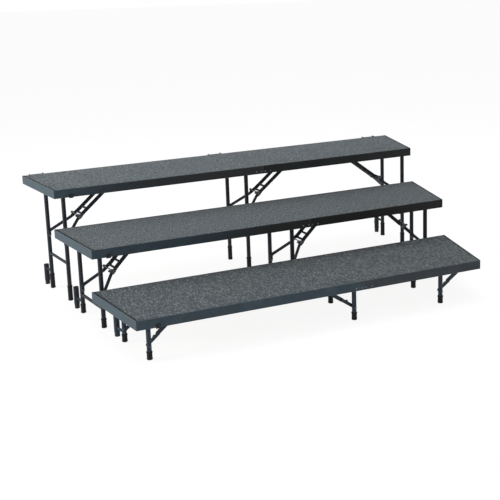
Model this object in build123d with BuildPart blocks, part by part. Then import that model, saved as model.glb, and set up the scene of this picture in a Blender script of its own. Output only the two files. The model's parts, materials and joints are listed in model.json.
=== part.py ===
from build123d import *
import os
from math import atan2, cos, degrees, hypot, radians, sin, sqrt

# A three-tread choir riser: three folding bench-like treads that stand one behind the other,
# each a step higher. Every tread is a steel rail frame with a carpeted board, carried by three
# folding leg frames, each held open by a knee brace. Millimetres, Z up, X along the treads,
# Y towards the rear. The origin is on the floor at the middle of the footprint.
os.makedirs("parts", exist_ok=True)

# Treads
tread_count = 3
step_rise = 203.2
tread_depth = 457.2
front_length_1 = 1778.0
length_growth = 165.1
end_taper = 95.25
seam_x = {1: 226.0, 2: 170.0, 3: 105.0}
seam_gap = 0.8

# Rail section: a wall with a ledge under the board and a lip along the bottom
rail_height = 44.5
rail_wall = 2.5
ledge_width = 16.0
ledge_thickness = 2.0
lip_width = 6.0
rail_below_top = 0.5

# Board, carpet and the edging strip beside the carpet's ends
board_thickness = 15.0
carpet_thickness = 4.5
seat_gap = 0.3
edging_width = 7.0
edging_rise = 1.0

# Leg frames
leg_d = 22.2
leg_spacing = 250.0
front_leg_inset = 42.0
pivot_drop = 36.0
leg_above_pivot = 6.0
hinge_tube_d = 17.0
pivot_d = 12.0
pivot_clearance = 0.05
crossbar_d = 15.9
crossbar_z = {2: 96.0, 3: 200.0}
foot_d = 25.4
foot_round = 3.0
foot_height = {1: 38.0, 2: 46.0, 3: 80.0}
foot_base = 5.0

# Sleeve behind the rear leg of some end frames: an open tube with a slimmer nose at its foot
socket_offset = 80.0
socket_d = 28.6
socket_bore_d = 22.6
socket_nose_d = 25.8
socket_bottom = 2.0
socket_shoulder = 22.0
socket_top = 115.0
socket_link_z = {1: 45.0, 2: 58.0, 3: 94.0}
socket_link_d = 12.7

# Hinge brackets under the board
ear_thickness = 3.0
ear_width = 34.0
ear_gap = 1.0
stub_past_ear = 2.0
ear_below_pivot = 8.5
bracket_flange = 26.0

# Knee braces
bar_depth = 19.0
bar_thickness = 6.0
bars_apart = {2: 74.0, 3: 74.0}
arm_depth = 16.0
arm_thickness = 5.0
pin_d = 8.0
pin_clearance = 0.05
pin_head_d = 13.0
pin_head_height = 2.2
brace_gap = 0.3
bracket_ear = 3.0
bracket_ear_width = 32.0
arm_end_ahead = 12.0
spacer_d = 12.0
lock_spacer_from_knee = 38.0
arm_pin_z = {1: 64.0, 2: 122.0, 3: 303.0}
arm_kink = {1: 0.0, 2: 24.0, 3: 23.0}
brace_reach = {1: 150.0, 2: 246.0, 3: 322.0}
arm_bend_back = {1: 4.0, 2: 38.0, 3: 40.0}

# Splice behind each front and rear seam
splice_length = 116.0
splice_thickness = 3.0
rivet_offsets = (-42.0, -10.0, 10.0, 42.0)
rivet_d = 4.8
rivet_head_d = 8.5
rivet_head_height = 1.6
rivet_below_top = 32.0

# Clips that hold a back rail at the rear edge, and the catch plates on the front rails
clip_width = 78.0
clip_thickness = 3.0
clip_height = 36.0
clip_rise = 1.5
clip_cheek_depth = 30.0
catch_width = 22.0
catch_height = 20.0
catch_thickness = 3.0
catch_from_leg = 36.0
catch_drop = 4.0

# Leg frames: tread, place, where the front leg stands, tilt of the frame's line, folding direction,
# and whether it carries a sleeve. An end frame is placed from its end of the tread's front edge,
# and a middle frame from the middle of it.
end_tilt = degrees(atan2(end_taper, tread_depth))
frames = [
    (1, "left", 62.0, end_tilt, 1, True),
    (1, "middle", 193.0, 0.0, -1, False),
    (1, "right", 208.0, 0.0, 1, False),
    (2, "left", 44.55, end_tilt, 1, True),
    (2, "middle", 80.0, 5.0, 1, False),
    (2, "right", 84.55, -15.0, -1, False),
    (3, "left", 51.1, end_tilt, 1, True),
    (3, "middle", 14.0, 5.0, 1, False),
    (3, "right", 33.1, -2.0, -1, True),
]


def tread_top(tread):
    return step_rise * tread


def front_y(tread):
    return tread_depth * (tread - 1 - tread_count / 2)


def front_half(tread):
    return (front_length_1 + length_growth * (tread - 1)) / 2


def outline(tread, inset_ends=0.0, inset_sides=0.0):
    """Corners of a tread, each edge moved inwards by its inset."""
    slope = end_taper / tread_depth
    along = inset_ends * sqrt(1 + slope**2)
    y0 = front_y(tread) + inset_sides
    y1 = front_y(tread) + tread_depth - inset_sides
    half0 = front_half(tread) + slope * (y0 - front_y(tread)) - along
    half1 = front_half(tread) + slope * (y1 - front_y(tread)) - along
    return [(-half0, y0), (half0, y0), (half1, y1), (-half1, y1)]


def face_between(tread, outer, inner=None):
    """A tread-shaped face, or a ring when an inner inset is given."""
    Polygon(*outline(tread, outer, outer), align=None)
    if inner is not None:
        Polygon(*outline(tread, inner, inner), align=None, mode=Mode.SUBTRACT)


def keep(piece, name):
    """Names a finished piece and writes it."""
    piece.part.label = name
    export_step(piece.part, f"parts/{name}.step")


# Rail frames

def rail_half(tread, side):
    top = tread_top(tread) - rail_below_top
    bottom = top - rail_height
    ledge_top = tread_top(tread) - carpet_thickness - board_thickness
    seam = seam_x[tread]
    sign = -1 if side == "left" else 1
    cut = Plane(origin=(seam + sign * seam_gap / 2, 0, 0), z_dir=(sign, 0, 0))
    rivet_z = top - rivet_below_top
    with BuildPart() as rail:
        with BuildSketch(Plane.XY.offset(bottom)):
            face_between(tread, 0, rail_wall)
        extrude(amount=rail_height)
        with BuildSketch(Plane.XY.offset(ledge_top)):
            face_between(tread, rail_wall, ledge_width)
        extrude(amount=-ledge_thickness)
        with BuildSketch(Plane.XY.offset(bottom)):
            face_between(tread, rail_wall, lip_width)
        extrude(amount=rail_wall)
        for y, facing in ((front_y(tread), 1), (front_y(tread) + tread_depth, -1)):
            with BuildSketch(Plane(origin=(seam, y, rivet_z), x_dir=(facing, 0, 0), z_dir=(0, facing, 0))):
                with Locations(*[(offset_x, 0) for offset_x in rivet_offsets]):
                    Circle(rivet_d / 2)
            extrude(amount=rail_wall, mode=Mode.SUBTRACT)
        split(bisect_by=cut, keep=Keep.TOP)
    return rail


def splice_plates():
    with BuildPart() as plates:
        for tread in range(1, tread_count + 1):
            top = tread_top(tread) - rail_below_top
            low = top - rail_height + rail_wall + seat_gap
            high = tread_top(tread) - carpet_thickness - board_thickness - ledge_thickness - seat_gap
            for y, facing in ((front_y(tread), 1), (front_y(tread) + tread_depth, -1)):
                face = Plane(
                    origin=(seam_x[tread], y + facing * rail_wall, top - rivet_below_top),
                    x_dir=(-facing, 0, 0),
                    z_dir=(0, facing, 0),
                )
                middle = (low + high) / 2 - (top - rivet_below_top)
                with BuildSketch(face):
                    with Locations((0, middle)):
                        Rectangle(splice_length, high - low)
                    with Locations(*[(offset_x, 0) for offset_x in rivet_offsets]):
                        Circle(rivet_d / 2, mode=Mode.SUBTRACT)
                extrude(amount=splice_thickness)
    return plates


def splice_rivets():
    with BuildPart() as rivets:
        for tread in range(1, tread_count + 1):
            z = tread_top(tread) - rail_below_top - rivet_below_top
            for y, facing in ((front_y(tread), 1), (front_y(tread) + tread_depth, -1)):
                seam = (seam_x[tread], y, z)
                with BuildSketch(Plane(origin=seam, x_dir=(facing, 0, 0), z_dir=(0, facing, 0))):
                    with Locations(*[(offset_x, 0) for offset_x in rivet_offsets]):
                        Circle(rivet_d / 2 - pin_clearance)
                extrude(amount=rail_wall + splice_thickness)
                with BuildSketch(Plane(origin=seam, x_dir=(-facing, 0, 0), z_dir=(0, -facing, 0))):
                    with Locations(*[(offset_x, 0) for offset_x in rivet_offsets]):
                        Circle(rivet_head_d / 2)
                extrude(amount=rivet_head_height, taper=20)
    return rivets


# Board, carpet and edging

def deck_board(tread):
    with BuildPart() as board:
        with BuildSketch(Plane.XY.offset(tread_top(tread) - carpet_thickness)):
            face_between(tread, rail_wall + seat_gap)
        extrude(amount=-board_thickness)
    return board


def carpet(tread):
    side = rail_wall + seat_gap
    with BuildPart() as cover:
        with BuildSketch(Plane.XY.offset(tread_top(tread) - carpet_thickness)):
            Polygon(*outline(tread, side + edging_width, side), align=None)
        extrude(amount=carpet_thickness)
        fillet(cover.faces().sort_by(Axis.Z)[-1].edges(), radius=carpet_thickness / 3)
    return cover


def edging_strips():
    side = rail_wall + seat_gap
    with BuildPart() as strips:
        for tread in range(1, tread_count + 1):
            with BuildSketch(Plane.XY.offset(tread_top(tread) - carpet_thickness)):
                Polygon(*outline(tread, side, side), align=None)
                Polygon(*outline(tread, side + edging_width - seat_gap, 0), align=None, mode=Mode.SUBTRACT)
            extrude(amount=carpet_thickness + edging_rise)
    return strips


# Leg frames. Each has its own plane: origin on the hinge line, x the way it folds, z up.

def leg_x(frame):
    """X of a frame's front leg."""
    tread, place, along = frame[:3]
    return {"left": along - front_half(tread), "middle": along, "right": front_half(tread) - along}[place]


def frame_plane(frame):
    tread, place, along, tilt, fold, has_socket = frame
    line = (-sin(radians(tilt)), cos(radians(tilt)))
    half = leg_spacing / 2
    origin = (
        leg_x(frame) + line[0] * half,
        front_y(tread) + front_leg_inset + line[1] * half,
        tread_top(tread) - pivot_drop,
    )
    return Plane(origin=origin, x_dir=(fold * line[1], -fold * line[0], 0), z_dir=(0, 0, 1))


def socket_side(frame):
    """The rear leg lies on this side of the frame's own y axis."""
    return frame[4]


def leg_frame(frame):
    tread = frame[0]
    floor = -(tread_top(tread) - pivot_drop)
    half = leg_spacing / 2
    low = floor + foot_base
    rear = socket_side(frame) * half
    socket_v = rear + socket_side(frame) * socket_offset
    stub = half + leg_d / 2 + ear_gap + ear_thickness + stub_past_ear
    bar_half = half - leg_d / 4
    with BuildPart(frame_plane(frame)) as legs:
        with Locations((0, -half, low), (0, half, low)):
            Cylinder(leg_d / 2, leg_above_pivot - low, align=(Align.CENTER, Align.CENTER, Align.MIN))
        Cylinder(hinge_tube_d / 2, 2 * bar_half, rotation=(90, 0, 0))
        Cylinder(pivot_d / 2, 2 * stub, rotation=(90, 0, 0))
        if tread in crossbar_z:
            with Locations((0, 0, floor + crossbar_z[tread])):
                Cylinder(crossbar_d / 2, 2 * bar_half, rotation=(90, 0, 0))
        with Locations((0, 0, floor + arm_pin_z[tread])):
            Cylinder(
                pin_d / 2 + pin_clearance, leg_spacing + 2 * leg_d, rotation=(90, 0, 0), mode=Mode.SUBTRACT
            )
        if frame[5]:
            low_end = (Align.CENTER, Align.CENTER, Align.MIN)
            with Locations((0, socket_v, floor + socket_shoulder)):
                Cylinder(socket_d / 2, socket_top - socket_shoulder, align=low_end)
            with Locations((0, socket_v, floor + socket_bottom)):
                Cylinder(socket_nose_d / 2, socket_top - socket_bottom, align=low_end)
            with Locations((0, (rear + socket_v) / 2, floor + socket_link_z[tread])):
                Cylinder(socket_link_d / 2, socket_offset - leg_d / 2, rotation=(90, 0, 0))
            with Locations((0, socket_v, floor + socket_bottom)):
                Cylinder(
                    socket_bore_d / 2, socket_top - socket_bottom, align=low_end, mode=Mode.SUBTRACT
                )
    return legs


def feet(frame):
    """Plastic sleeves pushed over the legs, rounded where they meet the floor."""
    tread = frame[0]
    floor = -(tread_top(tread) - pivot_drop)
    half = leg_spacing / 2
    low_end = (Align.CENTER, Align.CENTER, Align.MIN)
    with BuildPart(frame_plane(frame)) as caps:
        with Locations((0, -half, floor), (0, half, floor)):
            Cylinder(foot_d / 2, foot_height[tread], align=low_end)
        fillet(caps.edges().group_by(Axis.Z)[0], radius=foot_round)
        with Locations((0, -half, floor + foot_base), (0, half, floor + foot_base)):
            Cylinder(leg_d / 2, foot_height[tread], align=low_end, mode=Mode.SUBTRACT)
    return caps


# Knee brace. Its straight line runs from a point on the legs up to the bracket under the board.
# The arms turn down at the legs to their pins. The knee lies where the brace folds flat when the
# legs are folded up.

def brace_sizes(tread):
    """Slope in degrees, distance along the line to the knee, and bar length between pivots."""
    kink = arm_kink[tread]
    pin_drop = tread_top(tread) - pivot_drop - arm_pin_z[tread]
    rise = pin_drop - kink
    whole = hypot(brace_reach[tread], rise)
    spare = whole - (brace_reach[tread] - pin_drop)
    to_knee = (spare**2 - kink**2) / (2 * (spare + kink * rise / whole))
    return degrees(atan2(rise, brace_reach[tread])), to_knee, whole - to_knee


def brace_plane(frame, distance):
    """On the brace's line at a distance up from the legs: x up the line, y along the hinge."""
    tread = frame[0]
    plane = frame_plane(frame)
    angle = radians(brace_sizes(tread)[0])
    start_z = arm_pin_z[tread] + arm_kink[tread] - (tread_top(tread) - pivot_drop)
    point = plane.from_local_coords((distance * cos(angle), 0, start_z + distance * sin(angle)))
    up_line = plane.x_dir * cos(angle) + plane.z_dir * sin(angle)
    across = plane.z_dir * cos(angle) - plane.x_dir * sin(angle)
    return Plane(origin=point, x_dir=up_line, z_dir=across)


def band(points, thickness):
    """Corners of a strip of even thickness along a line of points."""
    sides = []
    for sign in (1, -1):
        row = []
        for i, (x, y) in enumerate(points):
            before = points[max(i - 1, 0)]
            after = points[min(i + 1, len(points) - 1)]
            a0 = atan2(y - before[1], x - before[0]) if i > 0 else None
            a1 = atan2(after[1] - y, after[0] - x) if i < len(points) - 1 else None
            a0 = a1 if a0 is None else a0
            a1 = a0 if a1 is None else a1
            mid = (a0 + a1) / 2
            reach = sign * thickness / 2 / cos((a1 - a0) / 2)
            row.append((x - reach * sin(mid), y + reach * cos(mid)))
        sides.append(row)
    return sides[0] + sides[1][::-1]


def arm_outer_v():
    """How far from the frame's middle an arm lies beside its leg."""
    return leg_spacing / 2 - leg_d / 2 - brace_gap - arm_thickness / 2


def bar_v(tread):
    """How far from the frame's middle a bar lies. The lowest tread's bars run along its legs."""
    if tread in bars_apart:
        return bars_apart[tread] / 2
    return arm_outer_v() - arm_thickness / 2 - brace_gap - bar_thickness / 2


def brace_arms(frame):
    """Two arms that part towards the legs, each turned down beside its leg, with its pin."""
    tread = frame[0]
    slope, to_knee, bar = brace_sizes(tread)
    plane = frame_plane(frame)
    inner_v = bar_v(tread) + (bar_thickness + arm_thickness) / 2 + brace_gap
    outer_v = arm_outer_v()
    pin_level = arm_pin_z[tread] - (tread_top(tread) - pivot_drop)
    head_from = leg_spacing / 2 + leg_d / 2 + brace_gap
    with BuildPart(plane) as arms:
        for side in (-1, 1):
            path = [
                (0, side * outer_v),
                (arm_end_ahead, side * outer_v),
                (to_knee - arm_bend_back[tread], side * inner_v),
                (to_knee, side * inner_v),
            ]
            with BuildSketch(brace_plane(frame, 0)):
                Polygon(*band(path, arm_thickness), align=None)
            extrude(amount=arm_depth / 2, both=True)
            pin_at = plane.from_local_coords((0, side * outer_v, pin_level))
            with BuildSketch(Plane(origin=pin_at, x_dir=plane.x_dir, z_dir=-plane.y_dir)):
                Circle(arm_depth / 2)
                with Locations((0, arm_kink[tread])):
                    Circle(arm_depth / 2)
                with Locations((0, arm_kink[tread] / 2)):
                    Rectangle(arm_depth, max(arm_kink[tread], arm_depth / 8))
            extrude(amount=arm_thickness / 2, both=True)
            with BuildSketch(Plane(origin=pin_at, x_dir=plane.x_dir, z_dir=plane.y_dir * side)):
                Circle(pin_d / 2)
            extrude(amount=head_from + pin_head_height - outer_v)
            head_at = plane.from_local_coords((0, side * head_from, pin_level))
            with BuildSketch(Plane(origin=head_at, x_dir=plane.x_dir, z_dir=plane.y_dir * side)):
                Circle(pin_head_d / 2)
            extrude(amount=pin_head_height)
            knee = brace_plane(frame, to_knee)
            knee_at = knee.origin + knee.y_dir * side * (inner_v - arm_thickness / 2)
            with BuildSketch(Plane(origin=knee_at, x_dir=knee.x_dir, z_dir=knee.y_dir * side)):
                Circle(arm_depth / 2)
            extrude(amount=arm_thickness)
            if tread in bars_apart:
                head_at = knee_at + knee.y_dir * side * arm_thickness
                with BuildSketch(Plane(origin=head_at, x_dir=knee.x_dir, z_dir=knee.y_dir * side)):
                    Circle(pin_head_d / 2)
                extrude(amount=pin_head_height)
    return arms


def brace_bars(frame):
    """Two flat bars on one cross pin under the board, with spacers between them at the knee."""
    tread = frame[0]
    slope, to_knee, bar = brace_sizes(tread)
    place = bar_v(tread)
    middle = brace_plane(frame, to_knee + bar / 2)
    with BuildPart(brace_plane(frame, to_knee)) as bars:
        for side in (-1, 1):
            at = middle.origin + middle.y_dir * (side * place)
            with BuildSketch(Plane(origin=at, x_dir=middle.x_dir, z_dir=middle.y_dir)):
                SlotCenterToCenter(bar, bar_depth)
            extrude(amount=bar_thickness / 2, both=True)
        with Locations((bar, 0, 0)):
            Cylinder(pin_d / 2, 2 * place + bar_thickness, rotation=(90, 0, 0))
        if tread in bars_apart:
            with Locations((0, 0, 0), (lock_spacer_from_knee, 0, 0)):
                Cylinder(spacer_d / 2, 2 * place - bar_thickness, rotation=(90, 0, 0))
    return bars


# Brackets under the boards

def hinge_brackets(tread):
    """Ears that carry the leg frames' hinge stubs, each bent over against the board."""
    under = tread_top(tread) - carpet_thickness - board_thickness
    with BuildPart() as brackets:
        for frame in frames:
            if frame[0] != tread:
                continue
            plane = frame_plane(frame)
            ear_top = under - (tread_top(tread) - pivot_drop)
            ear_v = (leg_spacing + leg_d + ear_thickness) / 2 + ear_gap
            for side in (-1, 1):
                base = plane.from_local_coords((0, side * ear_v, 0))
                with BuildSketch(Plane(origin=base, x_dir=plane.x_dir, z_dir=-plane.y_dir)):
                    with Locations((0, (ear_top - ear_below_pivot) / 2)):
                        Rectangle(ear_width, ear_top + ear_below_pivot)
                    Circle(pivot_d / 2 + pivot_clearance, mode=Mode.SUBTRACT)
                extrude(amount=ear_thickness / 2, both=True)
                flange_v = ear_v - ear_thickness / 2 - bracket_flange / 2
                seat = plane.from_local_coords((0, side * flange_v, ear_top))
                with BuildSketch(Plane(origin=seat, x_dir=plane.x_dir, z_dir=(0, 0, -1))):
                    Rectangle(ear_width, bracket_flange)
                extrude(amount=ear_thickness)
    return brackets


def brace_brackets():
    """A channel under the board between each brace's bars, with a hole in each ear for their pin."""
    with BuildPart() as brackets:
        for frame in frames:
            tread = frame[0]
            plane = frame_plane(frame)
            ear_top = tread_top(tread) - carpet_thickness - board_thickness - plane.origin.Z
            ear_v = bar_v(tread) - bar_thickness / 2 - brace_gap - bracket_ear / 2
            for side in (-1, 1):
                base = plane.from_local_coords((brace_reach[tread], side * ear_v, 0))
                with BuildSketch(Plane(origin=base, x_dir=plane.x_dir, z_dir=-plane.y_dir)):
                    with Locations((0, (ear_top - ear_below_pivot) / 2)):
                        Rectangle(bracket_ear_width, ear_top + ear_below_pivot)
                    Circle(pin_d / 2 + pin_clearance, mode=Mode.SUBTRACT)
                extrude(amount=bracket_ear / 2, both=True)
            seat = plane.from_local_coords((brace_reach[tread], 0, ear_top))
            with BuildSketch(Plane(origin=seat, x_dir=plane.x_dir, z_dir=(0, 0, -1))):
                Rectangle(bracket_ear_width, 2 * ear_v + bracket_ear)
            extrude(amount=bracket_ear)
    return brackets


# Clips and catch plates

def rear_clips():
    """U-shaped clips on the highest tread's rear rail, each behind a leg frame."""
    tread = tread_count
    rear_y = front_y(tread) + tread_depth
    top = tread_top(tread) - rail_below_top + clip_rise
    with BuildPart() as clips:
        for frame in frames:
            if frame[0] != tread:
                continue
            plane = frame_plane(frame)
            reach = leg_spacing / 2 + socket_offset
            x = plane.from_local_coords((0, socket_side(frame) * reach, 0)).X
            with BuildSketch(Plane.XY.offset(top - clip_height)):
                with Locations((x, rear_y + clip_cheek_depth / 2)):
                    Rectangle(clip_width, clip_cheek_depth)
                    with Locations((0, clip_thickness)):
                        Rectangle(clip_width - 2 * clip_thickness, clip_cheek_depth, mode=Mode.SUBTRACT)
            extrude(amount=clip_height)
    return clips


def catch_plates():
    """A small bent plate on each front rail beside the left leg frame."""
    with BuildPart() as plates:
        for frame in frames:
            if frame[1] != "left":
                continue
            tread = frame[0]
            low = tread_top(tread) - rail_below_top - rail_height - catch_drop
            face = Plane(
                origin=(leg_x(frame) + catch_from_leg, front_y(tread), low + catch_height / 2),
                x_dir=(1, 0, 0),
                z_dir=(0, -1, 0),
            )
            with BuildSketch(face):
                Rectangle(catch_width, catch_height)
                with Locations((catch_width / 4, 0)):
                    Rectangle(catch_width / 2, catch_height / 3, mode=Mode.SUBTRACT)
            extrude(amount=catch_thickness)
    return plates


for tread in range(1, tread_count + 1):
    for side in ("left", "right"):
        keep(rail_half(tread, side), f"rail_{side}_{tread}")
    keep(deck_board(tread), f"deck_board_{tread}")
    keep(carpet(tread), f"carpet_{tread}")
    keep(hinge_brackets(tread), f"hinge_brackets_{tread}")

for frame in frames:
    name = f"{frame[0]}_{frame[1]}"
    keep(leg_frame(frame), f"leg_frame_{name}")
    keep(feet(frame), f"feet_{name}")
    keep(brace_arms(frame), f"brace_arms_{name}")
    keep(brace_bars(frame), f"brace_bars_{name}")

keep(splice_plates(), "splice_plates")
keep(splice_rivets(), "splice_rivets")
keep(edging_strips(), "edging_strips")
keep(brace_brackets(), "brace_brackets")
keep(rear_clips(), "rear_clips")
keep(catch_plates(), "catch_plates")

for tread in range(1, tread_count + 1):
    slope, to_knee, bar = brace_sizes(tread)
    print(f"tread {tread}: brace slope {slope:.1f} deg, knee at {to_knee:.1f} mm, bar {bar:.1f} mm")
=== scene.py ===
import bpy
import bmesh
import json
from math import cos, pi, radians, sin
from mathutils import Matrix, Vector


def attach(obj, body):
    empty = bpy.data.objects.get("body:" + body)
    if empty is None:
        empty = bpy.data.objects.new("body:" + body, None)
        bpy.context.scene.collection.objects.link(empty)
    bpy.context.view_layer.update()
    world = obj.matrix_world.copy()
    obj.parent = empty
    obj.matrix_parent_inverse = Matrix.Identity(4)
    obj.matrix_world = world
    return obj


# Choir riser: carpeted treads on slate rail frames, black folding legs and braces.
# Metres, X along the treads, Y to the rear, Z up.

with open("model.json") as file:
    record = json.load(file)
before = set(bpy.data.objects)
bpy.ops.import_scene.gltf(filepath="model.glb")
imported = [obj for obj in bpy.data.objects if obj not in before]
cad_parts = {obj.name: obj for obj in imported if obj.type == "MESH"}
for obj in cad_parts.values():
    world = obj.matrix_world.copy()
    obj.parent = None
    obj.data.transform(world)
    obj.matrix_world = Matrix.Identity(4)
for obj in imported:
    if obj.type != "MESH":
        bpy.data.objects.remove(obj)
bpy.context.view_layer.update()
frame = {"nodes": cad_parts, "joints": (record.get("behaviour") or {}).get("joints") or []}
nodes = frame["nodes"]
joints = {joint["name"]: joint for joint in frame["joints"]}
scene = bpy.context.scene
print("frame loaded:", len(nodes), "nodes")

cameraSettings = {
    "place": (-1.728, -4.223, 1.632),
    "yaw": 21.53,      # degrees to the right of straight back
    "pitch": 10.95,    # degrees down
    "roll": -2.10,
    "lens": 63.7,
    "sensor": 36.0,
    "shiftX": 0.0,
    "shiftY": -0.20,
    "clipEnd": 60.0,
}


def addCamera(s):
    data = bpy.data.cameras.new("camera")
    data.lens = s["lens"]
    data.sensor_width = s["sensor"]
    data.shift_x = s["shiftX"]
    data.shift_y = s["shiftY"]
    data.clip_end = s["clipEnd"]
    cam = bpy.data.objects.new("camera", data)
    turn = Matrix.Rotation(-radians(s["yaw"]), 4, "Z")
    tip = Matrix.Rotation(radians(90.0 - s["pitch"]), 4, "X")
    lean = Matrix.Rotation(radians(s["roll"]), 4, "Z")
    cam.matrix_world = Matrix.Translation(s["place"]) @ turn @ tip @ lean
    scene.collection.objects.link(cam)
    scene.camera = cam


addCamera(cameraSettings)
print("camera placed")


# Materials: small helpers for node trees

black = (0.0, 0.0, 0.0)
white = (1.0, 1.0, 1.0)


def newMaterial(name):
    mat = bpy.data.materials.new(name)
    mat.use_nodes = True
    tree = mat.node_tree
    return mat, tree, tree.nodes["Principled BSDF"]


def objectCoords(tree):
    return tree.nodes.new("ShaderNodeTexCoord").outputs["Object"]


def stretchCoords(tree, coords, scale):
    node = tree.nodes.new("ShaderNodeMapping")
    node.inputs["Scale"].default_value = scale
    tree.links.new(coords, node.inputs["Vector"])
    return node.outputs["Vector"]


def addNoise(tree, coords, noise):
    # noise: scale per metre, detail, roughness
    node = tree.nodes.new("ShaderNodeTexNoise")
    for socket, value in zip(("Scale", "Detail", "Roughness"), noise):
        node.inputs[socket].default_value = value
    tree.links.new(coords, node.inputs["Vector"])
    return node.outputs["Fac"]


def addRamp(tree, source, stops, colors):
    node = tree.nodes.new("ShaderNodeValToRGB")
    elements = node.color_ramp.elements
    while len(elements) < len(stops):
        elements.new(0.5)    # placed below
    for element, stop, color in zip(elements, stops, colors):
        element.position = stop
        element.color = (*color, 1.0)
    tree.links.new(source, node.inputs["Fac"])
    return node.outputs["Color"]


def asGrey(tree, value):
    return addRamp(tree, value, (0.0, 1.0), (black, white))


def addRange(tree, value, **ends):
    # maps a value to another range; ends are given as fromMin, fromMax, toMin and toMax
    node = tree.nodes.new("ShaderNodeMapRange")
    sockets = {"fromMin": "From Min", "fromMax": "From Max", "toMin": "To Min", "toMax": "To Max"}
    for end, limit in ends.items():
        node.inputs[sockets[end]].default_value = limit
    tree.links.new(value, node.inputs["Value"])
    return node.outputs["Result"]


def mixColors(tree, factor, first, second, blend="MIX"):
    # each of the three is a plain value or another node's output
    node = tree.nodes.new("ShaderNodeMix")
    node.data_type = "RGBA"
    node.blend_type = blend
    for socket, value in ((node.inputs[0], factor), (node.inputs[6], first), (node.inputs[7], second)):
        if isinstance(value, float):
            socket.default_value = value
        elif isinstance(value, tuple):
            socket.default_value = (*value, 1.0)
        else:
            tree.links.new(value, socket)
    return node.outputs[2]


def addBump(tree, bsdf, height, bump):
    # bump: strength, depth in metres
    strength, depth = bump
    node = tree.nodes.new("ShaderNodeBump")
    node.inputs["Strength"].default_value = strength
    node.inputs["Distance"].default_value = depth
    tree.links.new(height, node.inputs["Height"])
    tree.links.new(node.outputs["Normal"], bsdf.inputs["Normal"])


def lengthFade(tree, coords, fade):
    # 0 to 1 along the tread, between two places
    split = tree.nodes.new("ShaderNodeSeparateXYZ")
    tree.links.new(coords, split.inputs["Vector"])
    return addRange(tree, split.outputs["X"], fromMin=fade[0], fromMax=fade[1])


def edgeMask(tree, width, samples):
    # 0 on flat faces, rising towards the edges
    rounded = tree.nodes.new("ShaderNodeBevel")
    rounded.samples = samples
    rounded.inputs["Radius"].default_value = width
    flat = tree.nodes.new("ShaderNodeNewGeometry")
    across = tree.nodes.new("ShaderNodeVectorMath")
    across.operation = "DISTANCE"
    tree.links.new(rounded.outputs["Normal"], across.inputs[0])
    tree.links.new(flat.outputs["Normal"], across.inputs[1])
    return across.outputs["Value"]


carpetLook = {
    "colors": ((0.010, 0.013, 0.015), (0.032, 0.038, 0.042), (0.150, 0.163, 0.168)),
    "colorStops": (0.36, 0.50, 0.65),
    "fleck": (175.0, 1.0, 0.5),        # yarn flecks, 5 to 7 mm across
    "rowStretch": (1.0, 0.35, 1.0),    # flecks are longer from front to rear
    "tuft": (400.0, 2.0, 0.65),        # single loops
    "tuftShare": 0.35,                 # of the speckle, the rest is flecks
    "pile": (0.8, 0.002),
    "patch": (5.0, 3.0, 0.5),          # wear and pile direction
    "patchStops": (0.35, 0.65),
    "patchShades": ((0.92, 0.92, 0.92), (1.06, 1.06, 1.06)),
    "drift": (1.7, 1.0, 0.5),          # slow change between cool and warm
    "driftStops": (0.38, 0.62),
    "driftTints": ((0.96, 1.0, 1.02), (1.04, 1.0, 0.97)),
    "roughness": 0.95,
    "shine": 0.1,
    "sheen": 0.21,
    "sheenTint": (0.82, 0.94, 1.0),
    "sheenRoughness": 0.5,
}


def makeCarpet(s):
    mat, tree, bsdf = newMaterial("carpetGrey")
    coords = objectCoords(tree)
    fleck = addNoise(tree, stretchCoords(tree, coords, s["rowStretch"]), s["fleck"])
    tuft = addNoise(tree, coords, s["tuft"])
    patch = addNoise(tree, coords, s["patch"])
    drift = addNoise(tree, coords, s["drift"])
    speckle = mixColors(tree, s["tuftShare"], asGrey(tree, fleck), asGrey(tree, tuft))
    color = addRamp(tree, speckle, s["colorStops"], s["colors"])
    shade = addRamp(tree, patch, s["patchStops"], s["patchShades"])
    color = mixColors(tree, 1.0, color, shade, "MULTIPLY")
    tint = addRamp(tree, drift, s["driftStops"], s["driftTints"])
    color = mixColors(tree, 1.0, color, tint, "MULTIPLY")
    tree.links.new(color, bsdf.inputs["Base Color"])
    bsdf.inputs["Roughness"].default_value = s["roughness"]
    bsdf.inputs["Specular IOR Level"].default_value = s["shine"]
    bsdf.inputs["Sheen Weight"].default_value = s["sheen"]
    bsdf.inputs["Sheen Tint"].default_value = (*s["sheenTint"], 1.0)
    bsdf.inputs["Sheen Roughness"].default_value = s["sheenRoughness"]
    addBump(tree, bsdf, tuft, s["pile"])
    return mat


railLook = {
    "paint": (0.030, 0.049, 0.063),
    "worn": (0.044, 0.067, 0.083),
    "wornStops": (0.45, 0.75),       # in the smudges
    # edge colour: edge wear and a painted highlight along the edges
    "edge": (0.150, 0.190, 0.210),
    "edgeStops": (0.10, 0.55),       # in the edge mask
    "edgeWidth": 0.0016,
    "edgeSamples": 4,
    "roughness": 0.46,
    "glossSpread": (-0.08, 0.14),    # what the smudges add to the roughness
    "shine": 0.2,
    "grain": (900.0, 1.0, 0.5),
    "grainBump": (0.12, 0.0006),
    "smudge": (14.0, 4.0, 0.6),
}

# the rails of each tread darken towards the right, most on the middle tread: painted shade on the side
# away from the left lamp, as darker copies of the slate paint
lowRightShadeLook = {**railLook, "paint": (0.030, 0.036, 0.044), "worn": (0.044, 0.051, 0.058)}
# the left halves of the middle and highest treads fade into painted shade towards their right ends
midLeftShadeLook = {**railLook, "darkEnd": (0.012, 0.013, 0.013), "fade": (-0.55, -0.05)}
midRightShadeLook = {
    **railLook,
    "paint": (0.0030, 0.0034, 0.0034),
    "worn": (0.007, 0.008, 0.008),
    "edge": (0.060, 0.068, 0.070),
}
topLeftShadeLook = {**railLook, "darkEnd": (0.024, 0.026, 0.029), "fade": (-0.95, -0.50)}
topRightShadeLook = {**midRightShadeLook, "paint": (0.0075, 0.0100, 0.0105), "worn": (0.014, 0.018, 0.019)}

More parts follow.
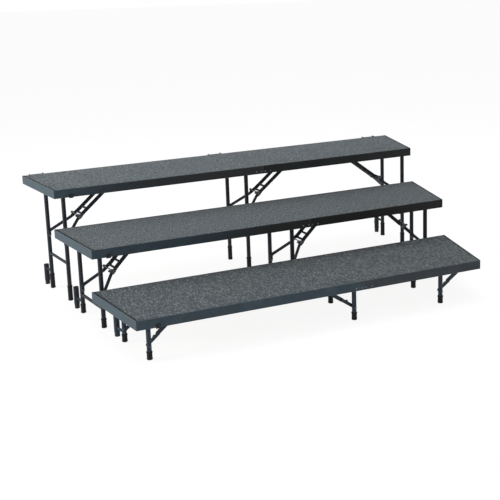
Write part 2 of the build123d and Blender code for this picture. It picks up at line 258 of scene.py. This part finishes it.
legLook = {
    **railLook,
    "paint": (0.0055, 0.0090, 0.0150),
    "worn": (0.012, 0.018, 0.027),
    "edge": (0.060, 0.070, 0.080),
    "edgeWidth": 0.0008,
    "roughness": 0.44,
    "shine": 0.25,
    "grain": (1100.0, 1.0, 0.5),
    "smudge": (30.0, 4.0, 0.6),
}

# the lowest tread's legs and braces get a lighter, bluer copy of the leg paint: painted light, where those
# legs catch more of the lamps
lowLegLitLook = {**legLook, "paint": (0.013, 0.024, 0.038), "worn": (0.022, 0.036, 0.052)}

bracketLook = {
    **railLook,
    "paint": (0.006, 0.007, 0.008),
    "worn": (0.018, 0.020, 0.023),
    "edge": (0.090, 0.095, 0.100),
    "edgeWidth": 0.0007,
    "roughness": 0.48,
    "shine": 0.25,
    "grain": (1100.0, 1.0, 0.5),
    "smudge": (25.0, 4.0, 0.6),
}

footLook = {
    **railLook,
    "paint": (0.005, 0.005, 0.0055),
    "worn": (0.014, 0.014, 0.015),
    "edge": (0.040, 0.040, 0.042),
    "edgeWidth": 0.0008,
    "roughness": 0.62,
    "grain": (700.0, 1.0, 0.5),
    "smudge": (40.0, 4.0, 0.6),
}

edgingLook = {
    **railLook,
    "paint": (0.0035, 0.0040, 0.0050),
    "worn": (0.008, 0.009, 0.010),
    "edge": (0.020, 0.024, 0.028),
    "edgeWidth": 0.0008,
    "roughness": 0.6,
    "grain": (500.0, 1.0, 0.5),
    "smudge": (18.0, 4.0, 0.6),
}

rivetLook = {
    **railLook,
    "paint": (0.055, 0.075, 0.090),
    "worn": (0.240, 0.270, 0.285),
    "edge": (0.320, 0.340, 0.350),
    "edgeWidth": 0.0006,
    "roughness": 0.42,
    "shine": 0.4,
    "grain": (1400.0, 1.0, 0.5),
    "smudge": (90.0, 4.0, 0.6),
}


def makePaint(name, s):
    # powder coat: fine orange-peel bump, with faint smudges in colour and gloss
    mat, tree, bsdf = newMaterial(name)
    coords = objectCoords(tree)
    grain = addNoise(tree, coords, s["grain"])
    smudge = addNoise(tree, coords, s["smudge"])
    color = addRamp(tree, smudge, s["wornStops"], (s["paint"], s["worn"]))
    # painted shade: the colour darkens towards the shaded end along the tread
    if "darkEnd" in s:
        color = mixColors(tree, lengthFade(tree, coords, s["fade"]), color, s["darkEnd"])
    # lighter colour along the edges: partly wear, partly a painted highlight where the edges catch the
    # light
    edges = edgeMask(tree, s["edgeWidth"], s["edgeSamples"])
    wornAndLitEdges = addRamp(tree, edges, s["edgeStops"], (black, white))
    color = mixColors(tree, wornAndLitEdges, color, s["edge"])
    tree.links.new(color, bsdf.inputs["Base Color"])
    smooth, dull = (s["roughness"] + change for change in s["glossSpread"])
    gloss = addRange(tree, smudge, toMin=smooth, toMax=dull)
    tree.links.new(gloss, bsdf.inputs["Roughness"])
    bsdf.inputs["Specular IOR Level"].default_value = s["shine"]
    addBump(tree, bsdf, grain, s["grainBump"])
    return mat


zincLook = {
    "colors": ((0.0805, 0.0854, 0.0910), (0.115, 0.122, 0.130)),
    "colorStops": (0.40, 0.65),
    "spangle": (120.0, 3.0, 0.5),
    "spangleBump": (0.1, 0.0005),
    "roughness": 0.50,
}


def makeZinc(s):
    mat, tree, bsdf = newMaterial("dullZinc")
    spangle = addNoise(tree, objectCoords(tree), s["spangle"])
    tree.links.new(addRamp(tree, spangle, s["colorStops"], s["colors"]), bsdf.inputs["Base Color"])
    bsdf.inputs["Metallic"].default_value = 1.0
    bsdf.inputs["Roughness"].default_value = s["roughness"]
    addBump(tree, bsdf, spangle, s["spangleBump"])
    return mat


boardLook = {
    "colors": ((0.20, 0.13, 0.075), (0.42, 0.31, 0.19)),
    "colorStops": (0.35, 0.65),
    "grain": (6.0, 6.0, 0.6),
    "grainStretch": (1.0, 14.0, 14.0),    # runs along the tread
    "grainBump": (0.2, 0.0008),
    "roughness": 0.7,
}


def makeBoard(s):
    mat, tree, bsdf = newMaterial("plywood")
    coords = stretchCoords(tree, objectCoords(tree), s["grainStretch"])
    grain = addNoise(tree, coords, s["grain"])
    tree.links.new(addRamp(tree, grain, s["colorStops"], s["colors"]), bsdf.inputs["Base Color"])
    bsdf.inputs["Roughness"].default_value = s["roughness"]
    addBump(tree, bsdf, grain, s["grainBump"])
    return mat


paintLooks = {
    "slatePaint": railLook,
    "lowRightPaint": lowRightShadeLook,
    "midLeftPaint": midLeftShadeLook,
    "midRightPaint": midRightShadeLook,
    "topLeftPaint": topLeftShadeLook,
    "topRightPaint": topRightShadeLook,
    "blackPaint": legLook,
    "lowLegPaint": lowLegLitLook,
    "bracketPaint": bracketLook,
    "footPlastic": footLook,
    "edgingStrip": edgingLook,
    "rivetSteel": rivetLook,
}

materials = {"carpetGrey": makeCarpet(carpetLook)}
for name, look in paintLooks.items():
    materials[name] = makePaint(name, look)
materials["dullZinc"] = makeZinc(zincLook)
materials["plywood"] = makeBoard(boardLook)

# by the start of a node's name; a later line overrules an earlier one
finishes = {
    "rail_": "slatePaint",
    # darker copies of the slate paint: painted shade towards the right
    "rail_right_1": "lowRightPaint",
    "rail_left_2": "midLeftPaint",
    "rail_right_2": "midRightPaint",
    "rail_left_3": "topLeftPaint",
    "rail_right_3": "topRightPaint",
    "splice_plates": "slatePaint",
    "splice_rivets": "rivetSteel",
    "deck_board_": "plywood",
    "carpet_": "carpetGrey",
    "edging_strips": "edgingStrip",
    "hinge_brackets_": "bracketPaint",
    "brace_brackets": "bracketPaint",
    "rear_clips": "bracketPaint",
    "catch_plates": "bracketPaint",
    "feet_": "footPlastic",
    "leg_frame_": "blackPaint",
    # lowest tread: the lit copy of the leg paint, painted light
    "leg_frame_1": "lowLegPaint",
    "brace_arms_": "blackPaint",
    "brace_arms_1": "lowLegPaint",
    "brace_bars_": "blackPaint",
    "brace_bars_1": "lowLegPaint",
}


def nodesStarting(start):
    return [node for name, node in nodes.items() if name.startswith(start)]


for start, finish in finishes.items():
    for node in nodesStarting(start):
        node.data.materials.clear()
        node.data.materials.append(materials[finish])
print("finishes applied")


# Soft edges on the painted pieces

softEdge = {"segments": 2, "angle": 50.0}

bevelWidths = {
    "rail_": 0.0008,
    "leg_frame_": 0.0006,
    "brace_": 0.0006,
    "rear_clips": 0.0006,
    "hinge_": 0.0005,
}


def softenEdges(node, width, s):
    bevel = node.modifiers.new("softEdge", "BEVEL")
    bevel.width = width
    bevel.segments = s["segments"]
    bevel.limit_method = "ANGLE"
    bevel.angle_limit = radians(s["angle"])


for start, width in bevelWidths.items():
    for node in nodesStarting(start):
        softenEdges(node, width, softEdge)
print("edges softened")


# Small parts that the solids leave out. Each is built in a space of its own, where a joint
# of the frame puts it: x along the folding way, z outward, and y across the leg frame.

legFrames = [name[len("fold_"):] for name in joints if name.startswith("fold_")]
up = Vector((0.0, 0.0, 1.0))

braceRun = {
    "slope": {1: 34.5, 2: 42.4, 3: 37.6},            # degrees up from level, by tread
    "bar": {1: 0.1144, 2: 0.1738, 3: 0.2363},        # between a bar's pivots
}


def treadOf(legFrame):
    return int(legFrame[0])


def jointPlace(joint, legFrame):
    return Vector(joints[joint + legFrame]["pos_m"])


def foldingWay(legFrame):
    hinge = Vector(joints["fold_" + legFrame]["axis"])
    return Vector((-hinge.y, hinge.x, 0.0))


def spaceAt(place, along, outward):
    across = outward.cross(along)
    space = Matrix((along, across, outward)).transposed().to_4x4()
    space.translation = place
    return space


def levelSpace(joint, legFrame):
    return spaceAt(jointPlace(joint, legFrame), foldingWay(legFrame), up)


def floorSpace(legFrame):
    place = jointPlace("fold_", legFrame)
    place.z = 0.0
    return spaceAt(place, foldingWay(legFrame), up)


def kneeSpace(legFrame, s):
    tread = treadOf(legFrame)
    slope = radians(s["slope"][tread])
    away = foldingWay(legFrame)
    along = away * cos(slope) + up * sin(slope)
    outward = up * cos(slope) - away * sin(slope)
    return spaceAt(jointPlace("bars_turn_", legFrame) - along * s["bar"][tread], along, outward)


def rearSide(space):
    # the sign of y that points to the rear
    return 1 if space.col[1].y > 0 else -1


def addPrism(bm, axis, outline, start, end):
    # a flat outline pushed along one axis, from start to end
    rings = []
    for place in (start, end):
        ring = []
        for a, b in outline:
            point = {"x": (place, a, b), "y": (a, place, b), "z": (a, b, place)}[axis]
            ring.append(bm.verts.new(point))
        rings.append(ring)
    bm.faces.new(rings[0])
    bm.faces.new(rings[1][::-1])
    for i in range(len(outline)):
        j = (i + 1) % len(outline)
        bm.faces.new((rings[0][i], rings[0][j], rings[1][j], rings[1][i]))


def addTurned(bm, profile, base, direction, sides=20):
    # profile: radius and height pairs from the bottom ring to the tip
    turn = Vector(direction).to_track_quat("Z", "X").to_matrix()
    rings = []
    for radius, height in profile:
        ring = []
        for i in range(sides):
            angle = 2 * pi * i / sides
            point = turn @ Vector((radius * cos(angle), radius * sin(angle), height))
            ring.append(bm.verts.new(Vector(base) + point))
        rings.append(ring)
    bm.faces.new(rings[0][::-1])
    bm.faces.new(rings[-1])
    for low, high in zip(rings, rings[1:]):
        for i in range(sides):
            j = (i + 1) % sides
            bm.faces.new((low[i], low[j], high[j], high[i]))


def addLocal(bm, space, build):
    # builds in the space's own axes, then moves what was built into place
    before = set(bm.verts)
    build()
    moved = [vert for vert in bm.verts if vert not in before]
    bmesh.ops.transform(bm, matrix=space, verts=moved)


def placePiece(bm, name, mat, body, bevel=0.0):
    bmesh.ops.recalc_face_normals(bm, faces=bm.faces)
    mesh = bpy.data.meshes.new(name)
    bm.to_mesh(mesh)
    bm.free()
    mesh.materials.append(mat)
    piece = bpy.data.objects.new(name, mesh)
    scene.collection.objects.link(piece)
    if bevel:
        softenEdges(piece, bevel, softEdge)
    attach(piece, body)


# Knee latches: a bent clip round each arm just below the knee, joined by a rod, with a thumb tab

latch = {
    "from": -0.031,       # down the arm from the knee
    "to": -0.010,
    "inner": 0.0406,      # from the brace's middle
    "outer": 0.0472,
    "reach": 0.0099,      # above and below the arm
    "sheet": 0.0017,
    "ear": 0.0065,        # radius of the ear that holds the rod
    "earSteps": 8,
    "rod": 0.0030,
    "rodRise": 0.0142,
    "rodHead": ((0.0042, 0.0), (0.0042, 0.0010), (0.0026, 0.0020)),
    "groove": (0.00258, 0.003, 0.004),    # radius, then half its length at the floor and the top
    "tab": [(-0.0150, 0.0082), (-0.0170, 0.0240), (-0.0140, 0.0260),
            (-0.0085, 0.0260), (-0.0055, 0.0240), (-0.0030, 0.0082)],    # from the clip's middle
    "tabSides": (0.0050, 0.0026),        # in from the clip's outer face
    "bevel": 0.0004,
}


def addLatch(legFrame, s):
    bm = bmesh.new()
    space = kneeSpace(legFrame, braceRun)
    middle = (s["from"] + s["to"]) / 2

    def addClip(side):
        inner, outer, reach, sheet = s["inner"], s["outer"], s["reach"], s["sheet"]
        half = [(inner, reach), (outer, reach), (outer, -reach), (inner, -reach),
                (inner, sheet - reach), (outer - sheet, sheet - reach),
                (outer - sheet, reach - sheet), (inner, reach - sheet)]
        addPrism(bm, "x", [(side * y, z) for y, z in half], s["from"], s["to"])

    def addEar(side):
        foot = s["reach"] - s["sheet"]
        ear = [(middle - s["ear"], foot)]
        for i in range(s["earSteps"] + 1):
            angle = pi - pi * i / s["earSteps"]
            ear.append((middle + s["ear"] * cos(angle), s["rodRise"] + s["ear"] * sin(angle)))
        ear.append((middle + s["ear"], foot))
        addPrism(bm, "y", ear, side * (s["outer"] - s["sheet"]), side * s["outer"])
        addTurned(bm, s["rodHead"], (middle, side * s["outer"], s["rodRise"]), (0, side, 0))

    def addRod():
        span = s["outer"] - s["sheet"]
        groove, floor, top = s["groove"]
        rod = ((s["rod"], 0.0), (s["rod"], span - top), (groove, span - floor),
               (groove, span + floor), (s["rod"], span + top), (s["rod"], 2 * span))
        addTurned(bm, rod, (middle, -span, s["rodRise"]), (0, 1, 0))

    def addTab(side):
        tab = [(middle + x, z) for x, z in s["tab"]]
        start, end = (side * (s["outer"] - inset) for inset in s["tabSides"])
        addPrism(bm, "y", tab, start, end)

    def build():
        for side in (-1, 1):
            addClip(side)
            addEar(side)
        addRod()
        addTab(-rearSide(space))

    addLocal(bm, space, build)
    placePiece(bm, "kneeLatch_" + legFrame, materials["dullZinc"], "arms_" + legFrame,
               s["bevel"])


for legFrame in legFrames:
    if treadOf(legFrame) > 1:
        addLatch(legFrame, latch)
print("knee latches added")


# Peened tips on the brace pins: on the legs' outer sides and at the knees,
# with washers inside each arm's lower end. The lowest tread's frames have the first only.

pinTips = {
    "dome": ((0.0046, 0.0), (0.0044, 0.0005), (0.0034, 0.0010), (0.0016, 0.0013)),
    "washer": ((0.0070, 0.0), (0.0070, 0.0010), (0.0062, 0.0014),
               (0.0046, 0.0014), (0.0042, 0.0022), (0.0022, 0.0026)),
    "legHead": 0.1386,      # from the brace's middle
    "kneeHead": 0.0475,
    "armInner": 0.1086,
}


def addPinTips(legFrame, s):
    bm = bmesh.new()
    tall = treadOf(legFrame) > 1

    def buildLower():
        for side in (-1, 1):
            addTurned(bm, s["dome"], (0, side * s["legHead"], 0), (0, side, 0))
            if tall:
                addTurned(bm, s["washer"], (0, side * s["armInner"], 0), (0, -side, 0))

    def buildKnee():
        for side in (-1, 1):
            addTurned(bm, s["dome"], (0, side * s["kneeHead"], 0), (0, side, 0))

    addLocal(bm, levelSpace("arms_turn_", legFrame), buildLower)
    if tall:
        addLocal(bm, kneeSpace(legFrame, braceRun), buildKnee)
    placePiece(bm, "pinTips_" + legFrame, materials["dullZinc"], "arms_" + legFrame)


for legFrame in legFrames:
    addPinTips(legFrame, pinTips)
print("pin tips added")


# Stop tabs on the lowest tread's short arms

stopTab = {
    "outline": [(-0.030, 0.0078), (-0.027, 0.0125), (-0.019, 0.0125), (-0.014, 0.0078)],    # from the knee
    "arm": 0.1111,        # the arm's middle from the brace's middle
    "half": 0.0024,
    "bevel": 0.0005,
}


def addStopTabs(legFrame, s):
    bm = bmesh.new()

    def build():
        for side in (-1, 1):
            arm = side * s["arm"]
            addPrism(bm, "y", s["outline"], arm - s["half"], arm + s["half"])

    addLocal(bm, kneeSpace(legFrame, braceRun), build)
    placePiece(bm, "stopTabs_" + legFrame, materials["dullZinc"], "arms_" + legFrame,
               s["bevel"])


for legFrame in legFrames:
    if treadOf(legFrame) == 1:
        addStopTabs(legFrame, stopTab)
print("stop tabs added")


# Pan-head screws that hold the brackets up to the boards, each with a small raised cross

screw = {
    "head": ((0.0040, 0.0), (0.0040, 0.0009), (0.0034, 0.0016), (0.0022, 0.0020)),
    "headSides": 16,
    "crossLong": 0.0022,
    "crossWide": 0.0005,
    "crossFrom": -0.0022,           # below the bracket's face
    "crossTo": -0.0016,
    "seat": 0.0135,                 # bracket face above the hinge line
    "hinge": [(-0.011, 0.1145), (0.011, 0.1145)],
    "brace": {
        1: [(-0.009, 0.030), (0.009, 0.070)],
        2: [(-0.009, 0.018), (0.009, 0.018)],
        3: [(-0.009, 0.018), (0.009, 0.018)],
    },
}


def addScrewHead(bm, x, y, s):
    addTurned(bm, s["head"], (x, y, s["seat"]), (0, 0, -1), s["headSides"])
    long, wide = s["crossLong"], s["crossWide"]
    quarter = [(long, wide), (wide, wide), (wide, long)]
    cross = []
    for turn in range(4):
        cross += quarter
        quarter = [(-b, a) for a, b in quarter]
    outline = [(x + a, y + b) for a, b in cross]
    addPrism(bm, "z", outline, s["seat"] + s["crossFrom"], s["seat"] + s["crossTo"])


def addScrewPairs(bm, space, places, s):
    def build():
        for x, y in places:
            addScrewHead(bm, x, y, s)
            addScrewHead(bm, x, -y, s)

    addLocal(bm, space, build)


def addScrews(tread, s):
    bm = bmesh.new()
    for legFrame in legFrames:
        if treadOf(legFrame) == tread:
            addScrewPairs(bm, levelSpace("fold_", legFrame), s["hinge"], s)
            addScrewPairs(bm, levelSpace("bars_turn_", legFrame), s["brace"][tread], s)
    placePiece(bm, "bracketScrews_" + str(tread), materials["dullZinc"], "treads")


for tread in (1, 2, 3):
    addScrews(tread, screw)
print("bracket screws added")


# Moulded rims round the tops of the feet, and shoes at their ends

footRim = {
    "height": {1: 0.038, 2: 0.046, 3: 0.080},    # the foot's top above the floor, by tread
    "leg": 0.125,                                # a leg's middle from the frame's middle
    "rim": ((0.0126, -0.0075), (0.0138, -0.0062), (0.0142, -0.0040),
            (0.0142, -0.0012), (0.0136, 0.0), (0.0112, 0.0)),
    "shoe": ((0.0124, 0.0012), (0.0134, 0.0024), (0.0136, 0.0045), (0.0134, 0.0085), (0.0126, 0.0110)),
    "sides": 28,
}


def addFootRims(legFrame, s):
    bm = bmesh.new()
    top = s["height"][treadOf(legFrame)]

    def build():
        for side in (-1, 1):
            addTurned(bm, s["rim"], (0, side * s["leg"], top), (0, 0, 1), s["sides"])
            addTurned(bm, s["shoe"], (0, side * s["leg"], 0), (0, 0, 1), s["sides"])

    addLocal(bm, floorSpace(legFrame), build)
    placePiece(bm, "footRims_" + legFrame, materials["footPlastic"], "legs_" + legFrame)


for legFrame in legFrames:
    addFootRims(legFrame, footRim)
print("foot rims added")


# Thumb screw on the sleeve at the highest tread's right end

thumbScrew = {
    "frame": "3_right",
    "face": 0.2193,      # the sleeve's rear face from the frame's middle
    "height": 0.062,
    "stem": ((0.0062, -0.0012), (0.0062, 0.0025), (0.0032, 0.0028), (0.0032, 0.0090),
             (0.0052, 0.0094), (0.0052, 0.0135), (0.0036, 0.0150)),
    "wing": [(0.0100, -0.0125), (0.0145, -0.0135), (0.0165, -0.0105),
             (0.0165, 0.0105), (0.0145, 0.0135), (0.0100, 0.0125)],    # out from the face, and up
    "wingHalf": 0.0015,
    "bevel": 0.0005,
}


def addThumbScrew(s):
    bm = bmesh.new()
    space = floorSpace(s["frame"])
    rear = rearSide(space)

    def build():
        addTurned(bm, s["stem"], (0, rear * s["face"], s["height"]), (0, rear, 0))
        wing = [(rear * (s["face"] + out), s["height"] + rise) for out, rise in s["wing"]]
        addPrism(bm, "x", wing, -s["wingHalf"], s["wingHalf"])

    addLocal(bm, space, build)
    placePiece(bm, "thumbScrew", materials["bracketPaint"], "legs_" + s["frame"],
               s["bevel"])


addThumbScrew(thumbScrew)
print("thumb screw added")


# Floor and lights

floorSettings = {
    "size": 400.0,
    "below": 0.0002,         # just under the feet
    "color": (0.94, 0.94, 0.94),
    "roughness": 0.9,
    "glow": 0.86,            # share of the white glow in what the camera sees
    "glowStrength": 1.05,
}


def seenDirectly(tree):
    # 1 for what the camera sees, itself or in a reflection or through glass
    path = tree.nodes.new("ShaderNodeLightPath")
    value = path.outputs["Is Camera Ray"]
    for ray in ("Is Glossy Ray", "Is Transmission Ray"):
        either = tree.nodes.new("ShaderNodeMath")
        either.operation = "MAXIMUM"
        tree.links.new(value, either.inputs[0])
        tree.links.new(path.outputs[ray], either.inputs[1])
        value = either.outputs["Value"]
    return value


def makePaper(s):
    mat, tree, bsdf = newMaterial("palePaper")
    bsdf.inputs["Base Color"].default_value = (*s["color"], 1.0)
    bsdf.inputs["Roughness"].default_value = s["roughness"]
    bsdf.inputs["Specular IOR Level"].default_value = 0.0
    glow = tree.nodes.new("ShaderNodeEmission")
    glow.inputs["Strength"].default_value = s["glowStrength"]
    mix = tree.nodes.new("ShaderNodeMixShader")
    tree.links.new(addRange(tree, seenDirectly(tree), toMax=s["glow"]), mix.inputs["Fac"])
    tree.links.new(bsdf.outputs["BSDF"], mix.inputs[1])
    tree.links.new(glow.outputs["Emission"], mix.inputs[2])
    tree.links.new(mix.outputs["Shader"], tree.nodes["Material Output"].inputs["Surface"])
    return mat


def addFloor(s):
    half = s["size"] / 2
    mesh = bpy.data.meshes.new("floor")
    corners = [(-half, -half, 0.0), (half, -half, 0.0), (half, half, 0.0), (-half, half, 0.0)]
    mesh.from_pydata(corners, [], [(0, 1, 2, 3)])
    mesh.materials.append(makePaper(s))
    floor = bpy.data.objects.new("floor", mesh)
    floor.location.z = -s["below"]
    scene.collection.objects.link(floor)


worldSettings = {"light": 0.50, "seen": 1.0}


def addWorld(s):
    # lights the object less than it shows behind it
    world = bpy.data.worlds.new("studio")
    world.use_nodes = True
    scene.world = world
    tree = world.node_tree
    background = tree.nodes["Background"]
    background.inputs["Color"].default_value = (*white, 1.0)
    strength = addRange(tree, seenDirectly(tree), toMin=s["light"], toMax=s["seen"])
    tree.links.new(strength, background.inputs["Strength"])


lamps = {
    "overhead": {"place": (0.3, 0.6, 4.2), "aim": (0.0, 0.1, 0.3), "power": 120.0, "size": 3.4},
    "left": {"place": (-4.6, 0.4, 1.3), "aim": (-0.8, 0.0, 0.4), "power": 150.0, "size": 2.0},
    "front": {"place": (-1.2, -4.6, 2.4), "aim": (0.0, 0.0, 0.3), "power": 5.0, "size": 2.6},
}


def addLamp(name, s):
    data = bpy.data.lights.new(name, "AREA")
    data.shape = "SQUARE"
    data.size = s["size"]
    data.energy = s["power"]
    lamp = bpy.data.objects.new(name, data)
    lamp.location = s["place"]
    aim = Vector(s["aim"]) - Vector(s["place"])
    lamp.rotation_euler = aim.to_track_quat("-Z", "Y").to_euler()
    scene.collection.objects.link(lamp)


addFloor(floorSettings)
addWorld(worldSettings)
for lampName, lampSettings in lamps.items():
    addLamp(lampName, lampSettings)
scene.view_settings.view_transform = "Standard"
print("floor and lights placed")
